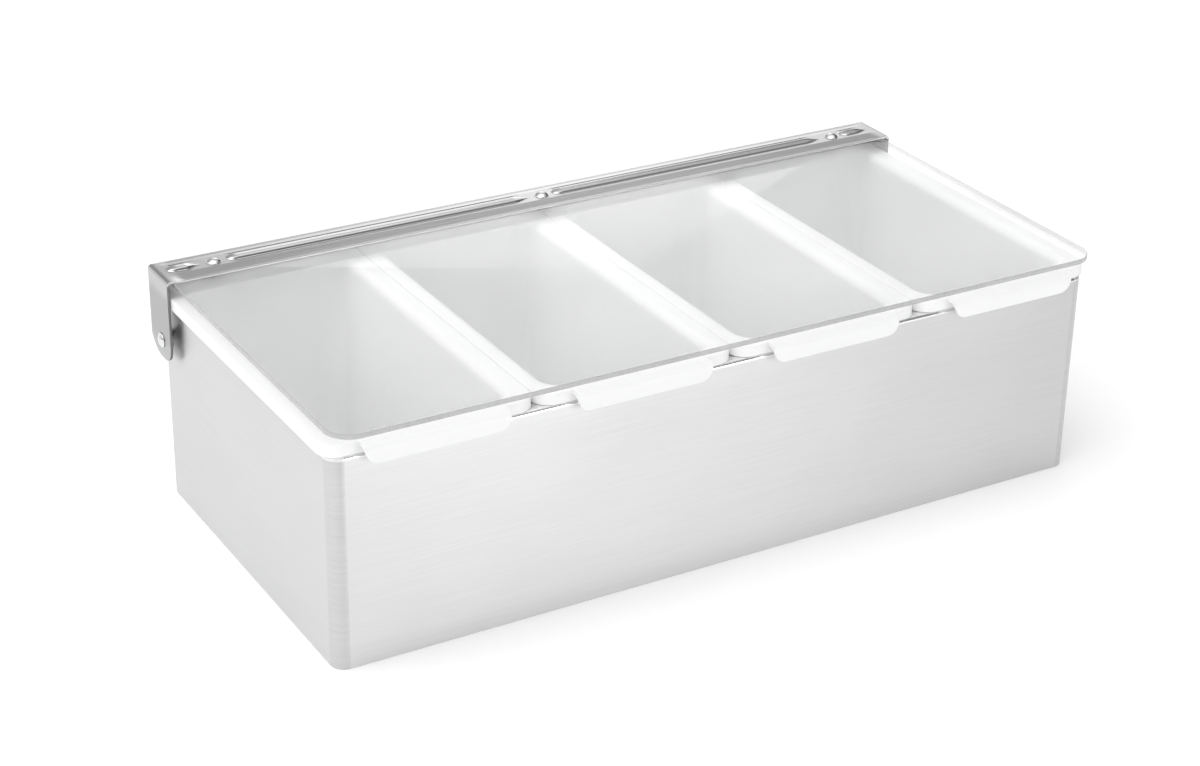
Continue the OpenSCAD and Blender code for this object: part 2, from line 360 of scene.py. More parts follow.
def bright_steel(name, base, rough):
    m, nt, b = new_mat(name)
    b.inputs["Metallic"].default_value = 1.0
    tc = nt.nodes.new("ShaderNodeTexCoord")
    n1 = noise(nt, mapped(nt, tc.outputs["Object"], (900, 900, 900)), 1.0, 4, 0.6)
    col = ramp(nt, n1, [(0.3, grey(base - 0.05)), (0.7, grey(base + 0.04))])
    nt.links.new(col.outputs[0], b.inputs["Base Color"])
    rr = nt.nodes.new("ShaderNodeMapRange")
    rr.inputs["To Min"].default_value = rough - 0.04
    rr.inputs["To Max"].default_value = rough + 0.08
    nt.links.new(n1, rr.inputs["Value"])
    nt.links.new(rr.outputs[0], b.inputs["Roughness"])
    bp = nt.nodes.new("ShaderNodeBump")
    bp.inputs["Strength"].default_value = 0.1
    bp.inputs["Distance"].default_value = 0.00003
    nt.links.new(n1, bp.inputs["Height"])
    nt.links.new(bp.outputs[0], b.inputs["Normal"])
    return m


steel_corner = brushed("steel_corner", 0.62, 0.32, 0.8, streak=0.05, bump=0.3, fine=0.8)
steel_turned = bright_steel("steel_turned_edge", 0.86, 0.2)
steel_turned_corner = bright_steel("steel_turned_corner", 0.88, 0.5)
# the ear's base colour is painted lighter towards its top and a little darker through its middle: painted light and
# shade
steel_ear = brushed("steel_ear", 0.54, 0.24, 0.6, streak=0.035, bump=0.18, fine=1.1,
                    along=(0.0614, 0.0942, [(0.0, 0.88), (0.12, 0.86), (0.33, 0.755), (0.76, 0.76), (0.92, 1.0), (1.0, 1.0)]))
# brighter steel on the raised beads: a painted highlight; the smoother finish is the bead's own
steel_bead_painted_highlight = brushed("steel_bead_painted_highlight", 0.6, 0.13, 0.15, streak=0.04, bump=0.14, fine=1.2)
# much darker steel for the faces on the beads' creases: painted shade in the creases
steel_crease_painted_shade = brushed("steel_crease_painted_shade", 0.24, 0.34, 0.2, streak=0.03, bump=0.2)
# the sheet's cut edges: a rougher finish of their own, with a brighter base that is painted light against the shade
# where the front edge meets the lid
steel_cut_painted_light = bright_steel("steel_cut_edge", 0.66, 0.4)
# much brighter steel than the top's for the strip's underside and inner faces: painted light standing in for light
# bounced under the strip
steel_under_painted_bounce = brushed("steel_underside", 0.8, 0.4, 0.4, streak=0.03, bump=0.16)
rivet_steel = bright_steel("rivet_steel", 0.74, 0.14)
washer_steel = bright_steel("washer_steel", 0.66, 0.24)


def white_plastic():
    m, nt, b = new_mat("white_polypropylene")
    tc = nt.nodes.new("ShaderNodeTexCoord")
    big = noise(nt, mapped(nt, tc.outputs["Object"], (18, 18, 18)), 1.0, 3, 0.5)
    fine = noise(nt, mapped(nt, tc.outputs["Object"], (2600, 2600, 2600)), 1.0, 3, 0.6)
    col = ramp(nt, big, [(0.3, (0.925, 0.928, 0.93, 1)), (0.7, (0.942, 0.943, 0.943, 1))])
    nt.links.new(col.outputs[0], b.inputs["Base Color"])
    rr = nt.nodes.new("ShaderNodeMapRange")
    rr.inputs["To Min"].default_value = 0.30
    rr.inputs["To Max"].default_value = 0.40
    nt.links.new(fine, rr.inputs["Value"])
    nt.links.new(rr.outputs[0], b.inputs["Roughness"])
    b.inputs["IOR"].default_value = 1.49
    b.inputs["Specular IOR Level"].default_value = 0.45
    bp = nt.nodes.new("ShaderNodeBump")
    bp.inputs["Strength"].default_value = 0.12
    bp.inputs["Distance"].default_value = 0.00004
    nt.links.new(fine, bp.inputs["Height"])
    b2 = nt.nodes.new("ShaderNodeBump")
    b2.inputs["Strength"].default_value = 0.12
    b2.inputs["Distance"].default_value = 0.0006
    nt.links.new(big, b2.inputs["Height"])
    nt.links.new(b2.outputs[0], bp.inputs["Normal"])
    nt.links.new(bp.outputs[0], b.inputs["Normal"])
    return m


plastic = white_plastic()


def clear_face():
    """Clear acrylic: mirrors a share that grows towards grazing, and lets the rest through."""
    m, nt, b = new_mat("clear_sheet_face")
    tc = nt.nodes.new("ShaderNodeTexCoord")
    big = noise(nt, mapped(nt, tc.outputs["Object"], (9, 9, 9)), 1.0, 2, 0.5)
    fine = noise(nt, mapped(nt, tc.outputs["Object"], (420, 420, 420)), 1.0, 4, 0.6)
    c = ramp(nt, big, [(0.3, (0.90, 0.905, 0.91, 1)), (0.7, (0.93, 0.93, 0.93, 1))])
    nt.links.new(c.outputs[0], b.inputs["Base Color"])
    b.inputs["Metallic"].default_value = 1.0
    rr = nt.nodes.new("ShaderNodeMapRange")
    rr.inputs["From Min"].default_value = 0.35
    rr.inputs["From Max"].default_value = 0.75
    rr.inputs["To Min"].default_value = 0.05
    rr.inputs["To Max"].default_value = 0.10
    nt.links.new(fine, rr.inputs["Value"])
    nt.links.new(rr.outputs[0], b.inputs["Roughness"])
    lw = nt.nodes.new("ShaderNodeLayerWeight")
    lw.inputs["Blend"].default_value = 0.5
    p5 = mix_val(nt, lw.outputs["Facing"], 5.0, op="POWER")
    al = mix_val(nt, mix_val(nt, p5, 0.92), 0.05, op="ADD")
    nt.links.new(al, b.inputs["Alpha"])
    bp = nt.nodes.new("ShaderNodeBump")
    bp.inputs["Strength"].default_value = 0.08
    bp.inputs["Distance"].default_value = 0.0008
    nt.links.new(big, bp.inputs["Height"])
    nt.links.new(bp.outputs[0], b.inputs["Normal"])
    return m


def cut_edge(name, col, alpha, rough):
    """Sawn and polished edge of the sheet, with fine saw marks across it."""
    m, nt, b = new_mat(name)
    tc = nt.nodes.new("ShaderNodeTexCoord")
    big = noise(nt, mapped(nt, tc.outputs["Object"], (60, 60, 60)), 1.0, 2, 0.5)
    saw = noise(nt, mapped(nt, tc.outputs["Object"], (2400, 2400, 90)), 1.0, 3, 0.6)
    c = ramp(nt, big, [(0.3, (col * 0.95, col * 0.955, col * 0.96, 1)), (0.7, (col * 1.04, col * 1.04, col * 1.04, 1))])
    nt.links.new(c.outputs[0], b.inputs["Base Color"])
    rr = nt.nodes.new("ShaderNodeMapRange")
    rr.inputs["From Min"].default_value = 0.3
    rr.inputs["From Max"].default_value = 0.7
    rr.inputs["To Min"].default_value = rough
    rr.inputs["To Max"].default_value = rough + 0.12
    nt.links.new(saw, rr.inputs["Value"])
    nt.links.new(rr.outputs[0], b.inputs["Roughness"])
    b.inputs["IOR"].default_value = 1.49
    b.inputs["Alpha"].default_value = alpha
    bp = nt.nodes.new("ShaderNodeBump")
    bp.inputs["Strength"].default_value = 0.2
    bp.inputs["Distance"].default_value = 0.00004
    nt.links.new(saw, bp.inputs["Height"])
    nt.links.new(bp.outputs[0], b.inputs["Normal"])
    return m


lid_face = clear_face()
# near edges: grey that is partly the sawn edge's own and partly painted shade; far edges: paler and clearer, painted
# light
lid_edge_painted_shade = cut_edge("clear_sheet_edge", 0.46, 0.85, 0.2)
lid_far_edge_painted_glow = cut_edge("clear_sheet_far_edge", 0.72, 0.3, 0.2)


# ---------------------------------------------------------------- housing walls
def housing_wrap():
    nc = 14
    side = [0, 0.25, 0.5, 0.75, 1]
    front = [0, 0.17, 0.33, 0.5, 0.67, 0.83, 1]
    # a ground butt weld runs up the middle of the back wall
    run = 2 * (HALF_L - 5.5)
    back = [0, 0.25, 0.4] + [0.5 + d / run for d in (-4, -1.2, -0.5, -0.16, 0.16, 0.5, 1.2, 4)] + [0.6, 0.75, 1]
    prof = []
    for a in (0, 30, 60, 90):
        prof.append((0.25 - 0.25 * math.sin(math.radians(a)), 0.25 - 0.25 * math.cos(math.radians(a))))
    prof += [(0, 10), (0, 28), (0, 56), (0, 74)]
    # the top edge turns inward over a bend and ends in a deburred lip
    rb, lw = 1.5, 3.8
    for a in (0, 12, 24, 36, 48, 60, 72, 81, 90):
        prof.append((rb - rb * math.cos(math.radians(a)), BODY_H - rb + rb * math.sin(math.radians(a))))
    prof.append((2.6, BODY_H))
    for a in (90, 60, 30, 0):
        prof.append((lw - 0.25 + 0.25 * math.cos(math.radians(a)), BODY_H - 0.25 + 0.25 * math.sin(math.radians(a))))
    for a in (0, -30, -60, -90):
        prof.append((lw - 0.25 + 0.25 * math.cos(math.radians(a)), BODY_H - 0.75 + 0.25 * math.sin(math.radians(a))))
    for a in (90, 120, 150, 180):
        prof.append((rb + 0.5 * math.cos(math.radians(a)), BODY_H - rb + 0.5 * math.sin(math.radians(a))))
    prof += [(1.0, 42), (1.0, 0.25)]
    for a in (0, 45, 90):
        prof.append((0.75 + 0.25 * math.cos(math.radians(a)), 0.25 - 0.25 * math.sin(math.radians(a))))
    rings, uvs = [], []
    for o, z in prof:
        r = ring(-HALF_L + o, HALF_L - o, -HALF_D + o, HALF_D - o, max(5.5 - o, 0.5), nc, front, side, back)
        pts, s = [], 0.0
        for i, (x, y) in enumerate(r):
            dy = 0.0
            if y > HALF_D - 1.5 and abs(x) < 1.3:
                # shallow ground groove with a thin line in its middle
                dy = -0.10 * (1 - (abs(x) / 1.3) ** 2) - (0.12 if abs(x) < 0.2 else 0.0)
                if o > 0.5:
                    dy = -dy * 0.5
            pts.append((x, y + dy, z))
            if i:
                s += math.dist(r[i], r[i - 1])
            uvs.append((s * MM, (z + (o if z > 40 else -o)) * MM))
        rings.append(pts)
    verts, faces, _ = loft(rings, closed_profile=True)
    # the bent corners take steels of their own: the walls' a little darker, the turned edge's rougher
    mats = []
    for f in faces:
        cxf = sum(verts[i][0] for i in f) / 4
        cyf = sum(verts[i][1] for i in f) / 4
        bent = abs(cxf) > HALF_L - 5.5 and abs(cyf) > HALF_D - 5.5
        if sum(verts[i][2] for i in f) / 4 > BODY_H - 1.35:
            mats.append(3 if bent else 2)
        else:
            mats.append(1 if bent else 0)
    ob = make("housing_wrap_shell", verts, faces, [steel_wall, steel_corner, steel_turned, steel_turned_corner], face_mats=mats, uv=uvs, angle=50, merge=None)
    bm = bmesh.new()
    bm.from_mesh(ob.data)
    bmesh.ops.recalc_face_normals(bm, faces=bm.faces)
    bm.to_mesh(ob.data)
    bm.free()
    # the closing column of faces wraps back to the start of the map: give it its own far edge
    me = ob.data
    uvl = me.uv_layers["UVMap"].data
    total = (4 * (HALF_L + HALF_D) - 8 * 5.5 + 2 * math.pi * 5.5) * MM
    for p in me.polygons:
        us = [uvl[l].uv[0] for l in p.loop_indices]
        if max(us) - min(us) > 0.3:
            for l in p.loop_indices:
                if uvl[l].uv[0] < 0.2:
                    uvl[l].uv[0] += total
    # tabs of the turned edge close the gaps between the trays' round corners
    tabs = []
    for cx in (-PITCH, 0.0, PITCH):
        rr = [[(x, y, z) for x, y in ring(cx - 6.1 + i, cx + 6.1 - i, -75.2 + i, -68.0 - i, 1.5 - i, 6)]
              for i, z in ((0.15, 83.03), (0.0, 83.18), (0.0, 83.82), (0.15, 83.97))]
        v, f, _ = loft(rr, cap_first=True, cap_last=True)
        tabs.append((v, f))
    work(ob, tabs, "UNION", 2, 50)
    work(ob, [rod("X", (PIVOT_Y, PIVOT_Z), 1.65, a, a + 6, 48) for a in (-166, 160)], "DIFFERENCE", 2, 50)
    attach(ob, "caddy")
    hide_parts("housing_wrap")
    return ob


def housing_base():
    g = 1.05
    prof = [(g + 0.9, 8.0), (g + 0.1, 8.0), (g, 7.9), (g, 1.4)]
    for a in (20, 45, 70, 90):
        prof.append((g + 1.4 - 1.4 * math.cos(math.radians(a)), 1.4 - 1.4 * math.sin(math.radians(a))))
    prof += [(g + 8, 0), (g + 30, 0)]
    top = [(g + 30, 1.0), (g + 8, 1.0), (g + 1.4, 1.0), (g + 1.1, 1.1), (g + 1.0, 1.4), (g + 1.0, 7.9)]
    rings = []
    for p in prof:
        rings.append([(x, y, p[1]) for x, y in ring(-HALF_L + p[0], HALF_L - p[0], -HALF_D + p[0], HALF_D - p[0], max(5.5 - p[0], 1.0), 10)])
    v1, f1, _ = loft(rings, cap_last=True)
    rings2 = []
    for p in top:
        rings2.append([(x, y, p[1]) for x, y in ring(-HALF_L + p[0], HALF_L - p[0], -HALF_D + p[0], HALF_D - p[0], max(5.5 - p[0], 1.0), 10)])
    rings2.append(rings[0])
    v2, f2, _ = loft(rings2, cap_first=True)
    off = len(v1)
    verts = v1 + v2
    faces = f1 + [tuple(i + off for i in f) for f in f2]
    uv = [(v[0] * MM, (v[1] + v[2]) * MM) for v in verts]
    ob = make("housing_base_pan", verts, faces, [steel_pan], uv=uv, angle=40)
    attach(ob, "caddy")
    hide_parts("housing_base")
    return ob


# ---------------------------------------------------------------- drop-in trays
GRIP_HW = 27.7
GRIP_Y = -82.0
GRIP_Z = 81.4
GRIP_R = 3.0
GRIP_T = 1.6
GRIP_C = 5.0


def insert(i):
    cx = (i - 2.5) * PITCH
    hx = RIM_L / 2
    mouth = 32.825
    myf, myb = RIM_YF + 6.0, RIM_YB - 10.7
    floor = 5.6
    zc = floor + 8.0
    nc = 12
    # front columns: the straight run of the outer rim, with close ones round the grip's ends
    ro = 7.5
    run = hx - ro
    cols = [-run, -31.5, -29.5, -28.2, -GRIP_HW - 0.02]
    grip_cols = [-GRIP_HW, -27.62, -27.4, -27.05, -26.5, -25.8, -24.9, -23.8, -22.7, -18, -13, -8, -3]
    cols = cols + grip_cols
    cols = cols + [-c for c in cols[::-1]]
    front = [(c + run) / (2 * run) for c in cols]
    is_grip = [abs(c) <= GRIP_HW + 1e-6 for c in cols]
    side = [0, 0.2, 0.4, 0.6, 0.8, 1]
    back = [0, 0.2, 0.4, 0.6, 0.8, 1]

    def wall(z):
        return 5.0 * (RIM_TOP - z) / (RIM_TOP - zc)

    def plan(inset, r, z):
        """Ring inset inward from the mouth's own outline."""
        return [(cx + x, y, z) for x, y in ring(-mouth + inset, mouth - inset, myf + inset, myb - inset, r, nc, front, side, back)]

    rings, mats = [], []
    # floor and its fillet
    rings.append(plan(5.0 + 8.0 + 6.0, 1.0, floor + 0.00))
    fr = 7.4
    for k in range(0, 9):
        a = math.radians(90 * k / 8)
        ins = 5.0 + fr - fr * math.sin(a)
        rings.append(plan(ins, max(8.0 - (ins - 5.0), 0.6), floor + fr - fr * math.cos(a)))
    for z in (26, 42, 58, 72, 80):
        rings.append(plan(wall(z), 8.0, z))
    # rolled mouth
    rm = 4.0
    w0 = wall(RIM_TOP - rm)
    for k in range(0, 9):
        a = math.radians(90 * k / 8)
        out = rm - rm * math.cos(a)
        rings.append(plan(w0 - out, 8.0 + out, RIM_TOP - rm + rm * math.sin(a)))
    inner_count = len(rings)

    # outer rim: each ring is a rounded rectangle whose front columns may leave it to make the grip
    def outer(inset, z, r):
        return [[cx + x, y, z] for x, y in ring(-hx + inset, hx - inset, RIM_YF + inset, RIM_YB - inset, r, nc, front, side, back)]

    def grip_bottom(x):
        d = max(0.0, GRIP_HW - abs(x))
        if d >= GRIP_C:
            return GRIP_Z
        return GRIP_Z + GRIP_C - math.sqrt(max(0.0, GRIP_C ** 2 - (GRIP_C - d) ** 2))

    re = 0.45
    zc_arc = RIM_TOP - GRIP_R
    yc_arc = GRIP_Y + GRIP_R

    def lip(x):
        """The grip's own section at x: outer face down, round the lower edge, and back up inside."""
        zb = grip_bottom(x)
        e = 0.45
        pts = []
        zlow = zb + e
        amax = math.pi / 2
        if zlow > zc_arc:
            amax = math.acos(min(1.0, (zlow - zc_arc) / GRIP_R))
        for k in range(0, 9):
            a = amax * k / 8
            pts.append((yc_arc - GRIP_R * math.sin(a), zc_arc + GRIP_R * math.cos(a)))
        yo = pts[-1][0]
        for k in (1, 2, 3):
            pts.append((yo, lerp(pts[8][1], zlow, k / 3)))
        # round lower edge to the inner face
        ri = GRIP_R - GRIP_T
        ai = math.pi / 2
        if zlow > zc_arc:
            ai = math.acos(min(1.0, (zlow - zc_arc) / ri)) if zlow - zc_arc < ri else 0.0
        yi = yc_arc - ri * math.sin(ai)
        if zlow > zc_arc + ri:
            yi = yc_arc
        for k in (1, 2, 3, 4, 5):
            a = math.pi * k / 6
            ym, h = (yo + yi) / 2, (yi - yo) / 2
            pts.append((ym - h * math.cos(a), zlow - e * math.sin(a)))
        pts.append((yi, zlow if zlow < zc_arc + ri else RIM_TOP - GRIP_T))
        for k in (1, 2):
            pts.append((yi, lerp(min(zlow, zc_arc + ri), min(zc_arc, max(zlow, zc_arc)), k / 2) if zlow < zc_arc else pts[-1][1]))
        for k in range(1, 5):
            a = ai * (1 - k / 4)
            pts.append((yc_arc - ri * math.sin(a), zc_arc + ri * math.cos(a)))
        return pts

    lip_n = len(lip(0.0))
    # this ring stays outside the rolled mouth, which comes closest to the edge at the front
    rings.append([tuple(p) for p in outer(re + 1.2, RIM_TOP, ro - re - 1.2)])
    base = outer(re, RIM_TOP, ro - re)
    rings.append([tuple(p) for p in base])
    # the lip's rings: away from the grip they lie on the rim's rounded edge
    edge = []
    for k in range(0, lip_n):
        a = math.radians(2 + 86 * k / (lip_n - 1))
        edge.append((re - re * math.sin(a), RIM_TOP - re + re * math.cos(a)))
    for k in range(lip_n):
        ins, z = edge[k]
        rg = outer(ins, z, ro - ins)
        for c, g in enumerate(is_grip):
            if g:
                y, zz = lip(cols[c])[k]
                rg[c] = [cx + cols[c], y, zz]
        rings.append([tuple(p) for p in rg])
    # under the lip, back to the skirt's face
    rg = outer(0.0, RIM_TOP - re, ro)
    for c, g in enumerate(is_grip):
        if g:
            rg[c] = [cx + cols[c], RIM_YF - 0.001, RIM_TOP - GRIP_T]
    rings.append([tuple(p) for p in rg])
    # skirt
    for z in (86.2, 84.35):
        rings.append([tuple(p) for p in outer(0.0, z, ro)])
    for a in (30, 60, 90):
        t = math.radians(a)
        rings.append([tuple(p) for p in outer(0.35 - 0.35 * math.cos(t), 84.35 - 0.35 * math.sin(t), ro - 0.35)])
    st = 1.5
    rings.append([tuple(p) for p in outer(st - 0.3, 84.0, ro - st)])
    rings.append([tuple(p) for p in outer(st, 84.3, ro - st)])
    rings.append([tuple(p) for p in outer(st, RIM_TOP - 1.8, ro - st)])
    # under the rim to the tray's outside
    t = 1.6

    def under(ins, r, z):
        return [(cx + x, y, z) for x, y in ring(-mouth + ins, mouth - ins, myf + ins, myb - ins, r, nc, front, side, back)]

    wz = RIM_TOP - 1.8
    rings.append(under(wall(wz) - t - 0.6, 8.0 + t, wz))
    rings.append(under(wall(wz - 0.6) - t, 8.0 + t, wz - 0.6))
    for z in (58, 30):
        rings.append(under(wall(z) - t, 8.0 + t, z))
    fo = fr + t
    for k in range(8, -1, -1):
        a = math.radians(90 * k / 8)
        ins = 5.0 - t + fo - fo * math.sin(a)
        rings.append(under(ins, max(8.0 + t - (ins - 5.0 + t), 0.6), floor - t + fo - fo * math.cos(a)))
    rings.append(under(5.0 + 14.0, 1.0, floor - t))
    verts, faces, owner = loft(rings, cap_first=True, cap_last=True)
    ob = make("insert_%d_tray" % i, verts, faces, [plastic], angle=38, merge=2e-7)
    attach(ob, "caddy")
    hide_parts("insert_%d" % i)
    return ob


# ---------------------------------------------------------------- clear lid
def lid_panel():
    hx = 162.7
    yf, yb = -HALF_D - 5.8, 78.0
    e = 0.3
    prof = []
    for a in (0, 30, 60, 90):
        t = math.radians(a)
        prof.append((e - e * math.sin(t), LID_Z + e - e * math.cos(t)))
    for a in (0, 30, 60, 90):
        t = math.radians(a)
        prof.append((e - e * math.cos(t), LID_Z + LID_T - e + e * math.sin(t)))

    def outline(o):
        """Front corners of radius 10, back corners of radius 2."""
        pts = []
        x0, x1, y0, y1 = -hx + o, hx - o, yf + o, yb - o
        rf, rb = 10 - o, 2 - o
        pts.append((x0 + rf, y0))
        pts += [(lerp(x0 + rf, x1 - rf, k / 12), y0) for k in range(1, 12)]
        for k in range(0, 17):
            a = -math.pi / 2 + math.pi / 2 * k / 16
            pts.append((x1 - rf + rf * math.cos(a), y0 + rf + rf * math.sin(a)))
        for k in range(0, 7):
            a = math.pi / 2 * k / 6
            pts.append((x1 - rb + rb * math.cos(a), y1 - rb + rb * math.sin(a)))
        for k in range(0, 7):
            a = math.pi / 2 + math.pi / 2 * k / 6
            pts.append((x0 + rb + rb * math.cos(a), y1 - rb + rb * math.sin(a)))
        for k in range(0, 16):
            a = math.pi + math.pi / 2 * k / 16
            pts.append((x0 + rf + rf * math.cos(a), y0 + rf + rf * math.sin(a)))
        return pts

    rings = [[(x, y, z) for x, y in outline(o)] for o, z in prof]
    verts, faces, owner = loft(rings, cap_first=True, cap_last=True)
    # the front and left edges get a darker, more solid grey, partly the sawn edge's own and partly painted shade; the
    # right and back ones get a paler, clearer grey, a painted glow
    mats = []
    for f in faces[:-2]:
        cxf = sum(verts[i][0] for i in f) / 4
        cyf = sum(verts[i][1] for i in f) / 4
        mats.append(2 if (cxf > hx - 1.5 or cyf > yb - 1.0) else 1)
    mats += [0, 0]
    ob = make("lid_panel_sheet", verts, faces, [lid_face, lid_edge_painted_shade, lid_far_edge_painted_glow], face_mats=mats, angle=25, merge=None)
    bm = bmesh.new()
    bm.from_mesh(ob.data)
    bmesh.ops.recalc_face_normals(bm, faces=bm.faces)
    bm.to_mesh(ob.data)
    bm.free()
    work(ob, [rod("Z", (x, RIVET_Y), 1.65, LID_Z - 1, LID_Z + LID_T + 1) for x in (-RIVET_X, 0.0, RIVET_X)], "DIFFERENCE", 2, 25)
    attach(ob, "lid")
    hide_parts("lid_panel")
    return ob


# ---------------------------------------------------------------- hinge strip
BEADS = [(-161.5, -RIVET_X - 4.6), (5.5 - RIVET_X, -5.0), (5.0, RIVET_X - 5.5), (RIVET_X + 4.6, 161.5)]


def bead_run(x):
    """How fully the beads are raised at x: blunt at their left ends, drawn out at their right ones."""
    for a, b in BEADS:
        if a < x < b:
            k = 1.0 if x - a >= 4.2 else math.sqrt(max(0.0, 1 - ((4.2 - x + a) / 4.2) ** 2))
            out = min(8.0, (b - a) / 2)
            return min(k, 1.0 if b - x >= out else 0.5 - 0.5 * math.cos(math.pi * (b - x) / out))
    return 0.0


# creases rolled along the beads: centre, half width, depth
REAR_CREASE = (74.72, 0.42, 0.14)
TOP_CREASE = (70.10, 0.32, 0.10)
FRONT_CREASE = (68.62, 0.22, 0.05)


def groove(y, c):
    t = abs(y - c[0]) / c[1]
    return c[2] * (0.5 + 0.5 * math.cos(math.pi * t)) if t < 1 else 0.0


def bead_height(x, y):
    """A flat-topped bead: steep in front, a longer foot behind. Its top leans forward a little
    more towards the right."""
    k = bead_run(x)
    if k < 1e-3:
        return 0.0
    v = RIVET_Y + (y - RIVET_Y) / k
    if not 68.2 < v < 74.3:
        return 0.0
    lean = 0.055 + 0.00048 * (x + 20)
    top = 0.92 - lean * (72.0 - min(v, 72.0)) - groove(v, TOP_CREASE)
    f = min(1.0, (v - 68.2) / 1.0)
    r = min(1.0, (74.3 - v) / 2.3)
    return k * top * f * f * (3 - 2 * f) * r * r * (3 - 2 * r)


def roll(x, y):
    """How far the top lies below its highest line: it slopes down to a flatter front lip,
    and dips behind the beads. The ends stay level."""
    a = min(1.0, max(0.0, (163.0 - abs(x)) / 5.0))
    a = a * a * (3 - 2 * a)
    k = bead_run(x) ** 2
    down = k * (groove(y, REAR_CREASE) + groove(y, FRONT_CREASE))
    if y > 75.2:
        d = y - 75.2
        down += 0.14 * (0.5 - 0.5 * math.cos(math.pi * d / 2.2)) if d < 2.2 else 0.14 - 0.045 * (0.5 - 0.5 * math.cos(math.pi * min(1.0, (d - 2.2) / 1.6)))
    t = 66.9 - y
    if t > 0:
        d = t * t / 1.2 if t < 0.6 else t - 0.3
        if t > 5.3:
            d = 5.0 + (t - 5.3) * 0.35
        down += 0.094 * d
    return down * a


def hinge_strip():
    rt = 1.5
    rv = 1.5
    xe = STRIP_X - rt
    ye = STRIP_YB - rt
    ys = [STRIP_YF, STRIP_YF + 0.4, 61.0, 61.4, 61.6, 61.9, 62.6, 63.8, 65.2]
    ys += [66.0, 66.3, 66.5, 66.7, 66.9, 67.2]
    ys += list(np.linspace(67.6, 70.7, 32))
    ys += list(np.linspace(70.9, 74.2, 14))
    ys += [74.3, 74.42, 74.54, 74.66, 74.78, 74.9, 75.02, 75.14, 75.3]
    ys += [75.6, 75.9, 76.2, 76.5, 76.8, 77.1, 77.4, 77.7, 78.0, 78.3, 78.6, 78.8, ye]
    xs = set([-xe, xe, -xe + 0.8, xe - 0.8])
    for a, b in BEADS:
        for e, s in ((a, 1), (b, -1)):
            for d in (-0.4, 0, 0.12, 0.35, 0.7, 1.15, 1.7, 2.3, 3.0, 3.6, 4.2, 4.8, 5.4, 6.0, 6.8, 7.6, 8.2):
                xs.add(round(e + s * d, 4))
    for k in range(-15, 16):
        xs.add(round(k * 9.5, 4))
    xs = sorted(x for x in xs if -xe <= x <= xe)
    keep = [xs[0]]
    for x in xs[1:]:
        if x - keep[-1] > 0.09:
            keep.append(x)
    if keep[-1] != xe:
        keep[-1] = xe
    xs = keep
    verts, faces, uvs = [], [], []

    def add(p, uv):
        verts.append(p)
        uvs.append((uv[0] * MM, uv[1] * MM))
        return len(verts) - 1

    # flat top with its beads
    grid = [[add((x, y, STRIP_TOP + bead_height(x, y) - roll(x, y)), (x, y)) for x in xs] for y in ys]
    mats = []
    for j in range(len(ys) - 1):
        for i in range(len(xs) - 1):
            faces.append((grid[j][i], grid[j][i + 1], grid[j + 1][i + 1], grid[j + 1][i]))
            xm, ym = (xs[i] + xs[i + 1]) / 2, (ys[j] + ys[j + 1]) / 2
            k = bead_run(xm)
            # faces on the creases take the dark crease steel: painted shade
            if k > 0.9 and (abs(ym - REAR_CREASE[0]) < 0.42 or abs(ym - FRONT_CREASE[0]) < 0.22 or abs(ym - TOP_CREASE[0]) < 0.11):
                mats.append(4)
            else:
                # raised bead faces take the brighter bead steel: painted highlight
                mats.append(2 if bead_height(xm, ym) > 0.04 else 0)
    # ear outline, lowest z at each y
    ear_z, rf, rb = 61.4, 6.0, 12.0

    def ear_low(y):
        if y < STRIP_YF + rf:
            return ear_z + rf - math.sqrt(max(0, rf ** 2 - (STRIP_YF + rf - y) ** 2))
        if y > STRIP_YB - rb:
            return ear_z + rb - math.sqrt(max(0, rb ** 2 - (y - STRIP_YB + rb) ** 2))
        return ear_z

    flange_low = STRIP_TOP - 13.2
    # U-shaped path: left ear front to back, corner, back, corner, right ear back to front
    path = []  # (x, y, inward normal, kind)
    for y in ys:
        path.append((-STRIP_X, y, (1, 0), "ear"))
    for k in range(1, 6):
        a = math.pi - math.pi / 2 * k / 6
        path.append((-xe + rv * math.cos(a), ye + rv * math.sin(a), (-math.cos(a), -math.sin(a)), "corner"))
    for x in xs:
        path.append((x, STRIP_YB, (0, -1), "back"))
    for k in range(1, 6):
        a = math.pi / 2 - math.pi / 2 * k / 6
        path.append((xe + rv * math.cos(a), ye + rv * math.sin(a), (-math.cos(a), -math.sin(a)), "corner"))
    for y in ys[::-1]:
        path.append((STRIP_X, y, (-1, 0), "ear"))

    def low(p):
        if p[3] == "ear":
            return ear_low(p[1])
        if p[3] == "corner":
            # the ear's own curve runs on round the fold to the flange's lower edge
            return max(ear_low(min(p[1], STRIP_YB - 0.02)), 0)
        return flange_low

    # arc length along the path for the map
    arc = [0.0]
    for i in range(1, len(path)):
        arc.append(arc[-1] + math.dist(path[i][:2], path[i - 1][:2]))
    nr = 6
    rows = []
    for k in range(nr + 1):
        a = math.pi / 2 * k / nr
        o, z = rt - rt * math.sin(a), STRIP_TOP - rt + rt * math.cos(a)
        o = rt * (1 - math.sin(a))
        rows.append((o, z))
    # rows run from the top edge of the fold down to the vertical face
    idx_rows = []
    top_idx = []
    for i, p in enumerate(path):
        if p[3] == "ear":
            j = ys.index(p[1])
            top_idx.append(grid[j][0] if p[0] < 0 else grid[j][-1])
        elif p[3] == "back":
            top_idx.append(grid[-1][xs.index(p[0])])
        else:
            top_idx.append(grid[-1][0] if p[0] < 0 else grid[-1][-1])
    idx_rows.append(top_idx)
    def grain(p, i, z):
        """The map follows the grain of the flat blank: along the back, and down the folded ears."""
        return (arc[i], z) if p[3] == "back" else (z, arc[i])

    for k, (o, z) in enumerate(rows[1:], 1):
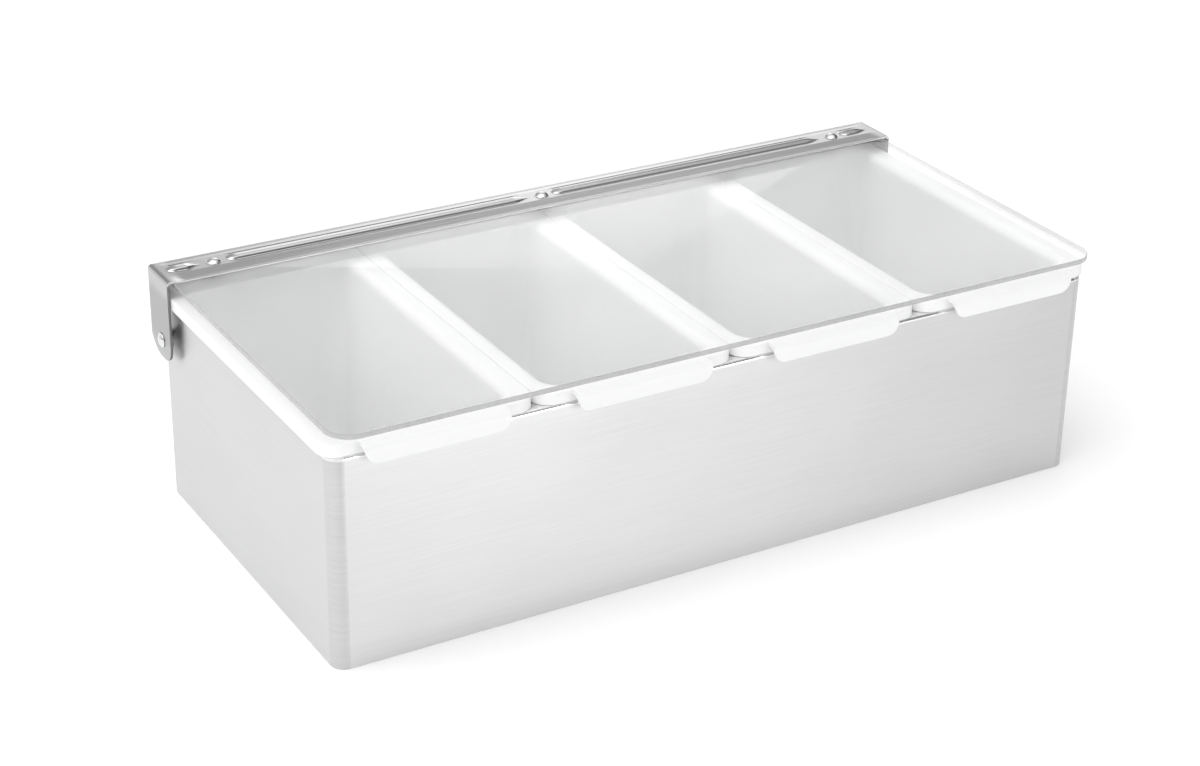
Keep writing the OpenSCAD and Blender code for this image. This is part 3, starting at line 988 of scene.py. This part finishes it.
        # the fold takes over the height of the flat's rear edge
        drop = [roll(p[0], ye) * (1 - k / nr) if p[3] == "back" else 0.0 for p in path]
        idx_rows.append([add((p[0] + p[2][0] * o, p[1] + p[2][1] * o, z - drop[i]), grain(p, i, z)) for i, p in enumerate(path)])
    z_top = STRIP_TOP - rt
    nz = 9
    for k in range(1, nz + 1):
        row = []
        for i, p in enumerate(path):
            zl = low(p)
            zz = lerp(z_top, zl, k / nz)
            row.append(add((p[0], p[1], zz), grain(p, i, zz)))
        idx_rows.append(row)
    for row, (a, b) in enumerate(zip(idx_rows[:-1], idx_rows[1:])):
        for i in range(len(path) - 1):
            f = [a[i], b[i], b[i + 1], a[i + 1]]
            g = []
            for v in f:
                if v not in g:
                    g.append(v)
            if len(g) > 2:
                faces.append(tuple(g))
                mats.append(3 if row >= nr and path[i][3] == "ear" and path[i + 1][3] == "ear" else 0)
    # the underside faces take the brightened underside steel: painted bounce light
    skins = [steel_strip, steel_cut_painted_light, steel_bead_painted_highlight, steel_ear, steel_crease_painted_shade] + [steel_under_painted_bounce] * 5
    ob = make("hinge_strip_sheet", verts, faces, skins, face_mats=mats, uv=uvs, angle=60, merge=1e-7)
    # outward normals: the top must face up
    me = ob.data
    up = sum(p.area * p.normal.z for p in me.polygons if abs(p.normal.z) > 0.9)
    if up < 0:
        me.flip_normals()
    upper = [tuple(v.co) for v in me.vertices]
    s = ob.modifiers.new("thick", "SOLIDIFY")
    s.thickness = 1.0 * MM
    s.offset = -1.0
    s.use_even_offset = True
    s.use_quality_normals = True
    s.material_offset = 5
    s.material_offset_rim = 1
    freeze(ob, 40)
    # under the flat the lower face lies straight below the upper one, because the creases are
    # tighter than the sheet is thick and faces offset along their normals would cross there
    pts = ob.data.vertices
    for i, c in enumerate(upper):
        if abs(c[0]) < (xe + 0.001) * MM and c[1] < (ye + 0.001) * MM:
            under = pts[i] if math.dist(pts[i].co, c) > 1e-5 else pts[i + len(upper)]
            under.co = (c[0], c[1], c[2] - 1.0 * MM)
    bv = ob.modifiers.new("edge", "BEVEL")
    bv.width = 0.16 * MM
    bv.segments = 2
    bv.limit_method = "ANGLE"
    bv.angle_limit = math.radians(62)
    freeze(ob, 40)
    # the rolled front thins out over the lid instead of pressing into it
    for v in ob.data.vertices:
        if abs(v.co.x) < 0.1645 and v.co.y < 0.0792 and 0.0935 < v.co.z < STRIP_Z * MM:
            v.co.z = STRIP_Z * MM
    ob.data.update()
    bores = [rod("X", (PIVOT_Y, PIVOT_Z), 1.65, a, a + 8) for a in (-170, 162)]
    bores += [rod("Z", (x, RIVET_Y), 1.65, STRIP_Z - 1, STRIP_TOP + 1) for x in (-RIVET_X, 0.0, RIVET_X)]
    work(ob, bores, "DIFFERENCE", 1, 40)
    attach(ob, "lid")
    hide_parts("hinge_strip")
    return ob


# ---------------------------------------------------------------- rivets and washers
def rivet_profile(stack, head_d=6.0, head_h=1.3, shank=3.2, tail_d=4.8, tail_h=0.8):
    r = (head_d ** 2 / 4 + head_h ** 2) / (2 * head_h)
    c = head_h - r
    p = [(0.0, head_h)]
    amax = math.asin(head_d / 2 / r)
    for k in range(1, 13):
        a = amax * k / 12
        x, z = r * math.sin(a), c + r * math.cos(a)
        if k == 12:
            p += [(head_d / 2 - 0.05, 0.2), (head_d / 2, 0.08), (head_d / 2 - 0.06, 0.0)]
        else:
            p.append((x, z + 0.0))
    p += [(shank / 2 + 0.04, 0.0), (shank / 2, -0.06), (shank / 2, -stack)]
    # rolled tail of a semi-tubular rivet
    for k in range(0, 7):
        a = math.radians(90 - 180 * k / 6)
        p.append((tail_d / 2 - tail_h / 2 + tail_h / 2 * math.cos(a), -stack - tail_h / 2 + tail_h / 2 * math.sin(a)))
    p += [(1.2, -stack - tail_h + 0.1), (0.95, -stack - tail_h + 0.35), (0.9, -stack + 0.3), (0.0, -stack + 0.4)]
    return p


def place(ob, matrix):
    ob.data.transform(matrix)
    ob.data.update()
    return ob


def rivet(name, body, matrix, stack):
    v, f = revolve(rivet_profile(stack), 48)
    ob = make(name + "_dome", v, f, [rivet_steel], angle=40)
    place(ob, matrix)
    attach(ob, body)
    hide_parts(name)


def washer(name, body, matrix, d, t, label):
    e = 0.12
    ri, ro = 1.66, d / 2
    prof = [(ri, e), (ri, t - e), (ri + e, t), (ro - e, t), (ro, t - e), (ro, e), (ro - e, 0), (ri + e, 0), (ri, e)]
    v, f = revolve(prof, 48)
    ob = make(name + label, v, f, [washer_steel], angle=35)
    place(ob, matrix)
    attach(ob, body)
    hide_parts(name)


def at(x, y, z, side=0):
    t = Matrix.Translation((x * MM, y * MM, z * MM))
    if side:
        t = t @ Matrix.Rotation(side * math.pi / 2, 4, "Y")
    return t


housing_wrap()
housing_base()
for n in (1, 2, 3, 4):
    insert(n)
lid_panel()
hinge_strip()
for label, x in (("left", -RIVET_X), ("middle", 0.0), ("right", RIVET_X)):
    rivet("lid_rivet_" + label, "lid", at(x, RIVET_Y, STRIP_TOP), 1.0 + LID_T + 0.5)
    washer("lid_washer_" + label, "lid", at(x, RIVET_Y, LID_Z - 0.5), 8.0, 0.5, "_ring")
for label, s in (("left", -1), ("right", 1)):
    rivet("pivot_rivet_" + label, "caddy", at(s * (STRIP_X + 0.1), PIVOT_Y, PIVOT_Z, s), STRIP_X + 0.1 - HALF_L + 1.0 + 0.5)
    washer("pivot_spacer_" + label, "caddy", at(s * HALF_L, PIVOT_Y, PIVOT_Z, s), 8.0, 2.2, "_ring")
    washer("pivot_washer_" + label, "caddy", at(s * (HALF_L - 1.0), PIVOT_Y, PIVOT_Z, -s), 5.0, 0.5, "_ring")

# ---------------------------------------------------------------- stage
fm, nt, b = new_mat("studio_floor")
tc = nt.nodes.new("ShaderNodeTexCoord")
n1 = noise(nt, mapped(nt, tc.outputs["Object"], (3, 3, 3)), 1.0, 3, 0.5)
c = ramp(nt, n1, [(0.3, (0.90, 0.90, 0.90, 1)), (0.7, (0.92, 0.92, 0.92, 1))])
nt.links.new(c.outputs[0], b.inputs["Base Color"])
b.inputs["Roughness"].default_value = 0.6
b.inputs["Specular IOR Level"].default_value = 0.2
b.inputs["Emission Color"].default_value = (1, 1, 1, 1)
b.inputs["Emission Strength"].default_value = 0.145
me = bpy.data.meshes.new("studio_floor")
me.from_pydata([(-8, -8, 0), (8, -8, 0), (8, 8, 0), (-8, 8, 0)], [], [(0, 1, 2, 3)])
me.materials.append(fm)
floor = bpy.data.objects.new("studio_floor", me)
bpy.context.scene.collection.objects.link(floor)

# ---------------------------------------------------------------- light
world = bpy.data.worlds.new("studio")
bpy.context.scene.world = world
world.use_nodes = True
nt = world.node_tree
nt.nodes.clear()
out = nt.nodes.new("ShaderNodeOutputWorld")
bg = nt.nodes.new("ShaderNodeBackground")
nt.links.new(bg.outputs[0], out.inputs[0])
tc = nt.nodes.new("ShaderNodeTexCoord")
# soft patches of light round the room:
# azimuth from the front (+ to the right), elevation, half width, strength
PATCHES = [
    (0, 6, 42, 0.18),
    (45, 6, 42, 0.0),
    (90, 6, 42, 0.0),
    (135, 6, 42, 0.0),
    (180, 6, 42, 0.432),
    (225, 6, 42, 0.376),
    (270, 6, 42, 0.091),
    (315, 6, 42, 0.0),
    (22.5, 32, 42, 0.003),
    (67.5, 32, 42, 0.0),
    (112.5, 32, 42, 0.0),
    (157.5, 32, 42, 0.027),
    (202.5, 32, 42, 0.0),
    (247.5, 32, 42, 0.62),
    (292.5, 32, 42, 0.247),
    (337.5, 32, 42, 0.156),
    (0, 60, 42, 0.467),
    (72, 60, 42, 0.155),
    (144, 60, 42, 0.606),
    (216, 60, 42, 0.318),
    (288, 60, 42, 0.876),
    (0, 90, 42, 0.506),
    (150, 17, 15, 1.769),
    (135, 20, 14, 0.0),
    (166, 20, 14, 0.0),
    (20, 8, 20, 1.777),
    (20, 30, 20, 0.05),
    (42, 20, 20, 0.0),
    (0, 90, 26, 0.0),
    (270, 74, 26, 1.27),
    (212, 7, 18, 0.57),
    (95, 76, 13, 1.3),
]
BASE_LIGHT = 0.05
total = None
for i, (az, el, wide, w) in enumerate(PATCHES):
    a, e = math.radians(az), math.radians(el)
    dot = nt.nodes.new("ShaderNodeVectorMath")
    dot.operation = "DOT_PRODUCT"
    nt.links.new(tc.outputs["Generated"], dot.inputs[0])
    dot.inputs[1].default_value = (math.sin(a) * math.cos(e), -math.cos(a) * math.cos(e), math.sin(e))
    mr = nt.nodes.new("ShaderNodeMapRange")
    mr.interpolation_type = "SMOOTHSTEP"
    mr.inputs["From Min"].default_value = math.cos(math.radians(wide))
    mr.inputs["From Max"].default_value = 1.0
    nt.links.new(dot.outputs["Value"], mr.inputs["Value"])
    sc = nt.nodes.new("ShaderNodeMath")
    sc.operation = "MULTIPLY"
    sc.name = "patch_%d" % i
    nt.links.new(mr.outputs[0], sc.inputs[0])
    sc.inputs[1].default_value = w
    if total is None:
        total = mix_val(nt, sc.outputs[0], BASE_LIGHT, op="ADD")
    else:
        total = mix_val(nt, sc.outputs[0], total, op="ADD")
nt.links.new(total, bg.inputs["Color"])
bg.inputs["Strength"].default_value = 1.0


def area(name, loc, target, size, power, shape="RECTANGLE", size_y=None):
    ld = bpy.data.lights.new(name, "AREA")
    ld.shape = shape
    ld.size = size
    if shape in ("RECTANGLE", "ELLIPSE"):
        ld.size_y = size_y or size
    ld.energy = power
    ob = bpy.data.objects.new(name, ld)
    ob.location = loc
    ob.rotation_mode = "QUATERNION"
    ob.rotation_quaternion = (Vector(target) - Vector(loc)).to_track_quat("-Z", "Y")
    bpy.context.scene.collection.objects.link(ob)
    return ob


area("left_soft", (-1.3, -0.3, 0.8), (0, 0, 0.05), 1.0, 2.145)
area("front_left_soft", (-0.75, -0.75, 0.35), (-0.05, -0.15, 0.0), 0.4, 0.417)
area("front_soft", (0.35, -1.0, 0.25), (0.0, 0.07, 0.09), 0.4, 0.966)

# light that the pale trays and the steel throw back and forth under the strip
for label, x0, x1, w in (("left", -0.159, -0.082, 0.00128), ("middle", -0.082, 0.082, 0.00306), ("right", 0.082, 0.159, 0.00075)):
    area("strip_fill_" + label, ((x0 + x1) / 2, 0.0685, 0.0922), ((x0 + x1) / 2, 0.0685, 0.0), x1 - x0, w, size_y=0.013)

# ---------------------------------------------------------------- camera
yaw, pitch, roll = math.radians(-30.51), math.radians(26.37), math.radians(1.00)
back = Vector((math.sin(yaw) * math.cos(pitch), -math.cos(yaw) * math.cos(pitch), math.sin(pitch)))
right = Vector((math.cos(yaw), math.sin(yaw), 0.0))
up = back.cross(right)
cr, sr = math.cos(roll), math.sin(roll)
right2 = cr * right + sr * up
up2 = -sr * right + cr * up
cd = bpy.data.cameras.new("camera")
cam = bpy.data.objects.new("camera", cd)
bpy.context.scene.collection.objects.link(cam)
cam.matrix_world = Matrix((
    (right2.x, up2.x, back.x, -0.469606),
    (right2.y, up2.y, back.y, -0.775871),
    (right2.z, up2.z, back.z, 0.490713),
    (0, 0, 0, 1)))
cd.lens = 77.0035
cd.sensor_width = 36.0
cd.clip_start, cd.clip_end = 0.05, 50
bpy.context.scene.camera = cam

vs = bpy.context.scene.view_settings
vs.view_transform = "Standard"
vs.look = "None"
vs.exposure = 0.0
